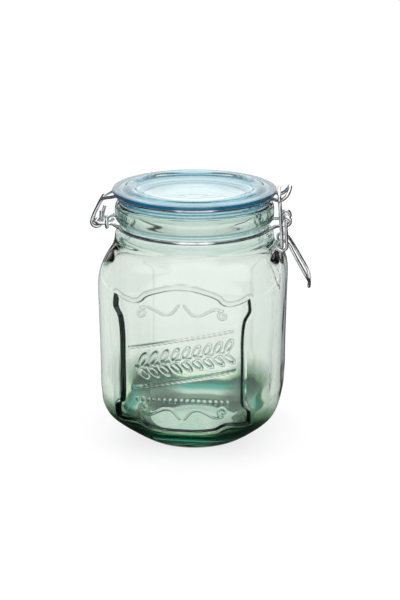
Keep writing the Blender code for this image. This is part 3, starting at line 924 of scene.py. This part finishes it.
def make_world(world):
    """An even white surround; reflections see a room with dark side flags instead."""
    world.use_nodes = True
    nodes, links = world.node_tree.nodes, world.node_tree.links
    background = nodes["Background"]
    coords = nodes.new("ShaderNodeTexCoord")
    split = nodes.new("ShaderNodeSeparateXYZ")
    links.new(coords.outputs["Generated"], split.inputs["Vector"])

    def math_node(operation, *values):
        node = nodes.new("ShaderNodeMath")
        node.operation = operation
        for socket, value in zip(node.inputs, values):
            if isinstance(value, float):
                socket.default_value = value
            else:
                links.new(value, socket)
        return node.outputs["Value"]

    def band(value, low, high, soft):
        rise = map_range(nodes, links, value, (low - soft, low + soft), (0.0, 1.0), True)
        fall = map_range(nodes, links, value, (high - soft, high + soft), (1.0, 0.0), True)
        return math_node("MULTIPLY", rise, fall)

    # Azimuth away from the camera's side: 0 toward the camera, pi straight behind the jar.
    c, s = math.cos(CAMERA_TURN), math.sin(CAMERA_TURN)
    x, y, up = (split.outputs[axis] for axis in "XYZ")
    side = math_node("ADD", math_node("MULTIPLY", x, c), math_node("MULTIPLY", y, s))
    back = math_node("ADD", math_node("MULTIPLY", x, -s), math_node("MULTIPLY", y, c))
    away = math_node("ARCTAN2", math_node("ABSOLUTE", side), math_node("MULTIPLY", back, -1.0))
    flags = band(away, math.radians(30.0), math.radians(152.0), 0.10)
    room = math_node("MULTIPLY", math_node("SUBTRACT", 1.0, flags), band(up, 0.06, 2.0, 0.05))
    lights = math_node("MAXIMUM", room, band(up, 0.80, 2.0, 0.04))
    mirror_view = math_node("ADD", math_node("MULTIPLY", lights, 1.6), 0.03)

    # A ray bent through clear glass also counts as glossy, and mostly keeps the even white.
    path = nodes.new("ShaderNodeLightPath")
    bent = math_node("MULTIPLY", path.outputs["Is Transmission Ray"], 0.88)
    share = math_node("MULTIPLY", path.outputs["Is Glossy Ray"],
                      math_node("SUBTRACT", 1.0, bent))
    level = nodes.new("ShaderNodeMix")
    links.new(share, level.inputs["Factor"])
    level.inputs["A"].default_value = 1.08
    links.new(mirror_view, level.inputs["B"])
    links.new(level.outputs["Result"], background.inputs["Strength"])
    background.inputs["Color"].default_value = (1.0, 1.0, 1.0, 1.0)


def make_cloth():
    """A dark cloth round the jar that only reflections can see, parted toward the front."""
    verts, faces = [], []
    for start, sweep, near, far in ((0.0, 360.0, 36.0, 150.0), (-61.0, 308.0, 150.0, 1400.0)):
        first = len(verts)
        for step in range(CLOTH_STEPS + 1):
            angle = math.radians(start + sweep * step / CLOTH_STEPS)
            for radius in (near, far):
                verts.append((radius * math.cos(angle), radius * math.sin(angle), CLOTH_HEIGHT))
            if step:
                k = first + 2 * step
                faces.append((k - 2, k - 1, k + 1, k))
    cloth = mesh_object("dark_cloth", np.array(verts), faces)
    made, shader, _, nodes, links = new_material("dark_cloth")
    weave = ramp(nodes, links, noise(nodes, links, 8.0),
                 [(0.3, (0.02, 0.022, 0.025)), (0.7, (0.05, 0.052, 0.055))])
    links.new(weave, shader.inputs["Base Color"])
    shader.inputs["Roughness"].default_value = 0.9
    cloth.data.materials.append(made)
    cloth.visible_camera = False
    cloth.visible_diffuse = False
    cloth.visible_transmission = False
    cloth.visible_shadow = False
    cloth.visible_volume_scatter = False


def make_floor():
    """The pale floor, slightly luminous so that its shadow stays faint."""
    bpy.ops.mesh.primitive_plane_add(size=9.0, location=(0.0, 1.5, -0.0002))
    floor = bpy.context.object
    floor.name = "studio_floor"
    made, shader, _, nodes, links = new_material("studio_floor")
    pale = ramp(nodes, links, noise(nodes, links, 3.0),
                [(0.3, (0.28, 0.28, 0.28)), (0.7, (0.30, 0.30, 0.30))])
    links.new(pale, shader.inputs["Base Color"])
    shader.inputs["Roughness"].default_value = 0.6
    shader.inputs["Specular IOR Level"].default_value = 0.0
    shader.inputs["Emission Color"].default_value = (1.0, 1.0, 1.0, 1.0)
    shader.inputs["Emission Strength"].default_value = 0.76
    floor.data.materials.append(made)


def make_camera(scene):
    """The camera, at the photograph's viewing angle."""
    camera_data = bpy.data.cameras.new("camera")
    camera_data.sensor_width = 36.0
    camera_data.lens = 90.0
    camera_data.shift_x = 5.45 / FRAME_HEIGHT
    camera_data.shift_y = -1.22 / FRAME_HEIGHT
    camera_data.clip_end = 20.0
    camera = bpy.data.objects.new("camera", camera_data)
    scene.collection.objects.link(camera)
    level = math.cos(CAMERA_ELEVATION)
    offset = Vector((math.sin(CAMERA_TURN) * level, -math.cos(CAMERA_TURN) * level,
                     math.sin(CAMERA_ELEVATION)))
    camera.location = Vector(CAMERA_TARGET) + offset * CAMERA_DISTANCE
    camera.rotation_euler = (-offset).to_track_quat("-Z", "Y").to_euler()
    scene.camera = camera


def studio():
    """The surround, the dark cloth, the floor, the camera and the light's bounces in glass."""
    scene = bpy.context.scene
    scene.view_settings.view_transform = "Standard"
    scene.cycles.max_bounces = 28
    scene.cycles.transmission_bounces = 28
    scene.cycles.glossy_bounces = 12
    scene.cycles.transparent_max_bounces = 16
    scene.cycles.diffuse_bounces = 4
    scene.world = bpy.data.worlds.new("studio")
    make_world(scene.world)
    make_cloth()
    make_floor()
    make_camera(scene)


# ---------------------------------------------------------------- assembly

def place(piece, body, node, slot, finish):
    """Hang a piece on its body in place of its CAD node."""
    piece.data.materials.append(finish)
    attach(piece, body)
    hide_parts(node)


green = glass_material("green_glass", (0.42, 0.61, 0.49), 27.0, 0.00035, 0.00004,
                       (0.90, 0.925, 0.90), (0.92, 0.94, 0.92))
blue = glass_material("blue_glass", (0.02, 0.55, 0.68), 13.0, 0.0002, 0.00003,
                      (0.98, 0.99, 1.0), (1.0, 1.0, 1.0))
seal = seal_material("clear_silicone")
bright = steel_material("bright_wire", (0.44, 0.44, 0.46), (0.80, 0.80, 0.82), 0.03, 0.12)

place(make_jar(), "jar", "jar", "jar_glass", green)
place(make_lid(), "lid", "lid", "lid_glass", blue)
place(make_gasket(), "lid", "gasket", "seal_silicone", seal)
for node, body, route, radius in (
        ("neck_wire_front", "jar", neck_front_route, HEAVY_WIRE),
        ("neck_wire_back", "jar", neck_back_route, HEAVY_WIRE),
        ("lid_wire", "lid", lid_wire_route, HEAVY_WIRE),
        ("lever", "lever", lever_route, LIGHT_WIRE),
        ("link", "link", link_route, LIGHT_WIRE)):
    place(make_wire(node + "_round", route(), radius), body, node, node + "_steel", bright)
studio()
